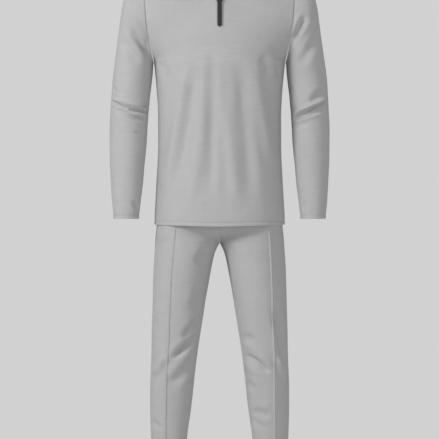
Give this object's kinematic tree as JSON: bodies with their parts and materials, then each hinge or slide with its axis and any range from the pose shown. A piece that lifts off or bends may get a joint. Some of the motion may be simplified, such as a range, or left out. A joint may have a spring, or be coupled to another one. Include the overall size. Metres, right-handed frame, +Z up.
{
  "type": "tracksuit",
  "caption": "Quarter-zip pullover with stand collar and zip pull, worn over tapered trousers with pintuck creases, filled out with no wearer.",
  "frame": {"origin": "middle of the neck's base, level with the neck ends of the shoulder seams, where the wearer's shoulders hold the pullover", "axes": "+Z up, the front faces -Y, +X is the wearer's left"},
  "size_m": [0.604, 0.2595, 1.5653],
  "materials": {
    "knit": "smooth light-grey double knit with a soft sheen",
    "tape": "grey woven tape",
    "slider": "black painted metal",
    "pull": "matt black plastic"
  },
  "bodies": {
    "garment": {"top_front": "knit", "top_back": "knit", "sleeve_left": "knit", "sleeve_right": "knit", "collar": "knit", "zip_tape_left": "tape", "zip_tape_right": "tape", "zip_slider": "slider", "leg_front_left": "knit", "leg_front_right": "knit", "leg_back_left": "knit", "leg_back_right": "knit", "waistband": "knit"},
    "pull": {"zip_pull": "pull"}
  },
  "joints": [
    {"name": "pull_swing", "type": "hinge", "parent": "garment", "child": "pull", "pos_m": [0, -0.08319, -0.08962], "axis": [-1, 0, 0], "range_deg": [0, 150]}
  ]
}
